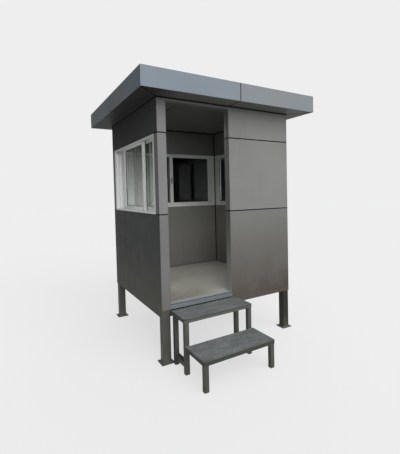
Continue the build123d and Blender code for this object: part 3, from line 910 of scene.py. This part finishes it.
# ------ steelwork and steps
def foot_welds():
    """A weld round each leg, where it stands on its foot plate."""
    mesh = bmesh.new()
    height = high_of("foot_plates").z + 1 * MM
    for corner in ("front_left", "front_right", "back_left", "back_right"):
        weld_bead(mesh, level_ring(*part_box(f"corner_post_{corner}"), height), 3.2 * MM)
    add_piece("foot_welds", mesh, weld_metal)


def step_welds():
    """Short welds where the steps' legs meet the treads, the braces and each other."""
    mesh = bmesh.new()
    weld, front_weld, near = 2 * MM, 3 * MM, 10 * MM
    legs = loose_boxes("step_legs")
    upper_top = legs[0][1].z
    for low, high in legs:
        tread = "step_upper_tread" if high.z == upper_top else "step_lower_tread"
        weld_bead(mesh, level_ring(low, high, low_of(tread).z - 1 * MM), weld)
    for low, high in loose_boxes("step_braces"):
        for y in (low.y, high.y):
            square = [(low.x, y, low.z), (high.x, y, low.z), (high.x, y, high.z), (low.x, y, high.z)]
            weld_bead(mesh, square, weld)
    lower_back = high_of("step_lower_tread")
    for low, high in legs:
        if high.z == upper_top and abs(low.y - lower_back.y) < near:
            weld_bead(mesh, [(x, low.y, lower_back.z) for x in (low.x, high.x)], front_weld, closed=False)
    add_piece("step_welds", mesh, weld_metal)


def tread_outline(box):
    """A tread's outline from its back left corner round its two rounded front corners."""
    low, high = box
    segments = 6
    path = [(low.x, high.y)]
    for centre_x, start in ((low.x + tread_radius, math.pi), (high.x - tread_radius, 1.5 * math.pi)):
        for i in range(segments + 1):
            angle = start + i / segments * math.pi / 2
            path.append((centre_x + tread_radius * math.cos(angle),
                         low.y + tread_radius + tread_radius * math.sin(angle)))
    path.append((high.x, high.y))
    return path


def tread_pattern(node):
    """Raised lozenges of chequer plate, turned left and right by turns."""
    mesh = bmesh.new()
    low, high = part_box(node)
    pitch = 25 * MM
    border = 20 * MM
    levels = ((24 * MM, 6.5 * MM, -0.5 * MM), (20 * MM, 3 * MM, 0.8 * MM))  # length, width, height
    outline = ((0.5, 0.0), (0.28, 0.5), (-0.28, 0.5), (-0.5, 0.0), (-0.28, -0.5), (0.28, -0.5))
    columns, rows = (int((high[axis] - low[axis] - border) / pitch) for axis in (0, 1))
    middle = (low + high) / 2
    for column in range(columns):
        for row in range(rows):
            across, deep = column - (columns - 1) / 2, row - (rows - 1) / 2
            centre = Vector((middle.x + across * pitch, middle.y + deep * pitch, high.z))
            turn = Matrix.Rotation(math.radians(45 if (column + row) % 2 else -45), 3, "Z")
            rings = []
            for length, width, tall in levels:
                corners = [Vector((a * length, b * width, tall)) for a, b in outline]
                rings.append([mesh.verts.new(centre + turn @ corner) for corner in corners])
            mesh.faces.new(rings[1])
            bridge(mesh, rings)
    bmesh.ops.recalc_face_normals(mesh, faces=mesh.faces)
    add_piece(f"{node}_lozenges", mesh, lozenge_steel)


def tread_shadow_line(node):
    """A black strip between a tread's plate and the rim under it: painted shadow under the plate's edge."""
    mesh = bmesh.new()
    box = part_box(node)
    shadow_strip = [(-1 * MM, -2.5 * MM), (0.4 * MM, -2.5 * MM), (0.4 * MM, 0), (-1 * MM, 0)]
    path = [(x, y, box[1].z - tread_plate) for x, y in tread_outline(box)]
    sweep(mesh, path, (0, 0, 1), shadow_strip)
    add_piece(f"{node}_seam", mesh, black_sealant_and_shadow)


def roof_trim():
    """Lapped roof sheets with their screws, and sealant round the edge of the deck."""
    seams = bmesh.new()
    sealed = bmesh.new()
    low = Vector((roof_low.x + sheet, roof_low.y + sheet, deck_top))
    high = Vector((roof_high.x - sheet, roof_high.y - sheet, deck_top))
    third = (high.x - low.x) / 3
    half_lap, lap_rise, end_gap, chamfer = 20 * MM, 1.6 * MM, 2 * MM, 0.8 * MM
    lap_top = deck_top + lap_rise
    screws = 9
    for lap_x in (low.x + third, high.x - third):
        block(seams, (lap_x - half_lap, low.y + end_gap, deck_top),
              (lap_x + half_lap, high.y - end_gap, lap_top), chamfer)
        for i in range(screws):
            screw_head(seams, (lap_x, low.y + (i + 0.5) * (high.y - low.y) / screws, lap_top), (0, 0, 1))
    plan = [Vector(corner) for corner in level_ring(low, high, deck_top)]
    for start, end in zip(plan, plan[1:] + plan[:1]):
        into = Vector((0, 0, 1)).cross((end - start).normalized())
        corner_fillet(sealed, start, end, into, (0, 0, 1), 9 * MM)
    add_piece("roof_seams", seams, galvanised)
    add_piece("roof_edge_sealant", sealed, grey_sealant)


foot_welds()
step_welds()
tread_pattern("step_upper_tread")
tread_pattern("step_lower_tread")
tread_shadow_line("step_upper_tread")
roof_trim()

# ------ stage, lights and camera
background = tint(238, 238, 238)


def staged(name, mesh, material):
    """A thing of the studio, which isn't part of the object."""
    thing = new_object(name, mesh, material)
    return thing


def world_glow(nodes, towards, edge, core, level, curve="SMOOTHSTEP"):
    """A soft round light in the world, as a strength that fades out from its middle."""
    direction = nodes.node("ShaderNodeTexCoord").outputs["Generated"]
    sockets = {0: direction, 1: Vector(towards).normalized()}
    facing = nodes.node("ShaderNodeVectorMath", sockets, operation="DOT_PRODUCT").outputs["Value"]
    return nodes.remap(facing, edge, core, 0.0, level, curve)


def studio_world(fill, front, top, rear, overhead):
    """A dim dome with wide soft lights in front, above and behind. Gloss sees a pale room, dim overhead."""
    world = bpy.data.worlds.new("studio")
    world.use_nodes = True
    nodes = Nodes(world.node_tree)
    glow = nodes.math("ADD", world_glow(nodes, (0.02, -0.885, 0.44), 0.66, 0.95, front),
                      world_glow(nodes, (0.1, -0.1, 1.0), 0.70, 1.0, top))
    behind = nodes.math("ADD", world_glow(nodes, (0.5, 0.78, 0.38), 0.66, 0.95, rear), fill)
    light = nodes.tree.nodes["Background"]
    nodes.feed(light.inputs["Color"], (0.98, 0.99, 1.0, 1.0))
    nodes.feed(light.inputs["Strength"], nodes.math("ADD", glow, behind))

    pale_room = world_glow(nodes, (0, 0, -1), -0.14, 0.035, 1.0 - overhead, curve="LINEAR")
    camera_ray = nodes.node("ShaderNodeLightPath").outputs["Is Camera Ray"]
    strength = nodes.math("MAXIMUM", camera_ray, nodes.math("ADD", pale_room, overhead))
    picture = nodes.node("ShaderNodeBackground", {"Color": background, "Strength": strength})
    shown = nodes.mix_shader(nodes.background_rays(), light.outputs[0], picture.outputs[0])
    nodes.feed(nodes.tree.nodes["World Output"].inputs["Surface"], shown)
    scene.world = world


def studio_floor(half_size, bounce, level, glow):
    """A wide pale floor. It shows the background's colour, keeps the object's shadow, and bounces light."""
    look = Look("studio_floor", Base_Color=(bounce, bounce, bounce, 1.0), Roughness=1.0,
                    Specular_IOR_Level=0.0)
    pale = look.node("ShaderNodeBsdfDiffuse", {"Color": shade(background, level)}).outputs[0]
    bright = look.node("ShaderNodeEmission", {"Color": background, "Strength": 1.0}).outputs[0]
    picture = look.mix_shader(glow, pale, bright)
    shown = look.mix_shader(look.background_rays(), look.surface.outputs[0], picture)
    look.feed(look.tree.nodes["Material Output"].inputs["Surface"], shown)
    mesh = bmesh.new()
    bmesh.ops.create_grid(mesh, x_segments=2, y_segments=2, size=half_size)
    below_feet = 0.5 * MM
    staged("studio_floor", mesh, look.material).location.z = cad_low.z - below_feet


def room_lamp(power):
    """A soft lamp under the ceiling by the doorway, in place of light from the ground outside."""
    lamp = bpy.data.lights.new("room_lamp", "AREA")
    lamp.shape = "RECTANGLE"
    lamp.size = 0.5
    lamp.size_y = 0.15
    lamp.spread = math.radians(75)
    lamp.energy = power
    holder = bpy.data.objects.new("room_lamp", lamp)
    from_left, from_front, from_ceiling = 0.36, 0.10, 0.05
    holder.location = Vector((room_low.x + from_left, room_low.y + from_front, room_high.z - from_ceiling))
    aim = Vector((body_middle.x + 0.15, body_middle.y + 0.30, room_low.z))
    holder.rotation_mode = "QUATERNION"
    holder.rotation_quaternion = (aim - holder.location).to_track_quat("-Z", "Y")
    holder.visible_camera = holder.visible_glossy = holder.visible_transmission = False
    scene.collection.objects.link(holder)


def dark_card(away, left, right, bottom, top):
    """A dark card upright behind the booth, seen only in its glass, where it gives the windows depth."""
    mesh = bmesh.new()
    corners = ((left, bottom), (right, bottom), (right, top), (left, top))
    mesh.faces.new([mesh.verts.new((x, body_high.y + away, z)) for x, z in corners])
    matt = Look("dark_card", Base_Color=tint(12, 14, 17), Roughness=1.0, Specular_IOR_Level=0.0)
    card = staged("dark_card", mesh, matt.material)
    card.visible_camera = card.visible_diffuse = card.visible_shadow = False


studio_world(fill=0.10, front=3.2, top=1.2, rear=0.9, overhead=0.10)
studio_floor(half_size=40.0, bounce=0.22, level=0.957, glow=0.75)
room_lamp(power=1.4)
dark_card(away=0.26, left=body_middle.x + 0.06, right=body_high.x + 1.2, bottom=1.2, top=2.3)

# The camera stands 1.5 m above the ground, off the booth's front-left corner
camera = bpy.data.cameras.new("camera")
camera.sensor_width = 36.0
camera.lens = 26.521
camera.shift_x = -0.0500
camera.shift_y = -0.0479
camera.clip_start = 0.05
camera.clip_end = 200.0
camera_place = Matrix.Translation((body_low.x - 1.0784, body_low.y - 2.7561, 1.5156))
camera_turn = Matrix.Rotation(math.radians(-32.137), 4, "Z")
camera_tilt = Matrix.Rotation(math.radians(90 - 2.159), 4, "X")
camera_roll = Matrix.Rotation(math.radians(-1.235), 4, "Z")
camera_holder = bpy.data.objects.new("camera", camera)
camera_holder.matrix_world = camera_place @ camera_turn @ camera_tilt @ camera_roll
scene.collection.objects.link(camera_holder)
scene.camera = camera_holder
scene.view_settings.view_transform = "Standard"
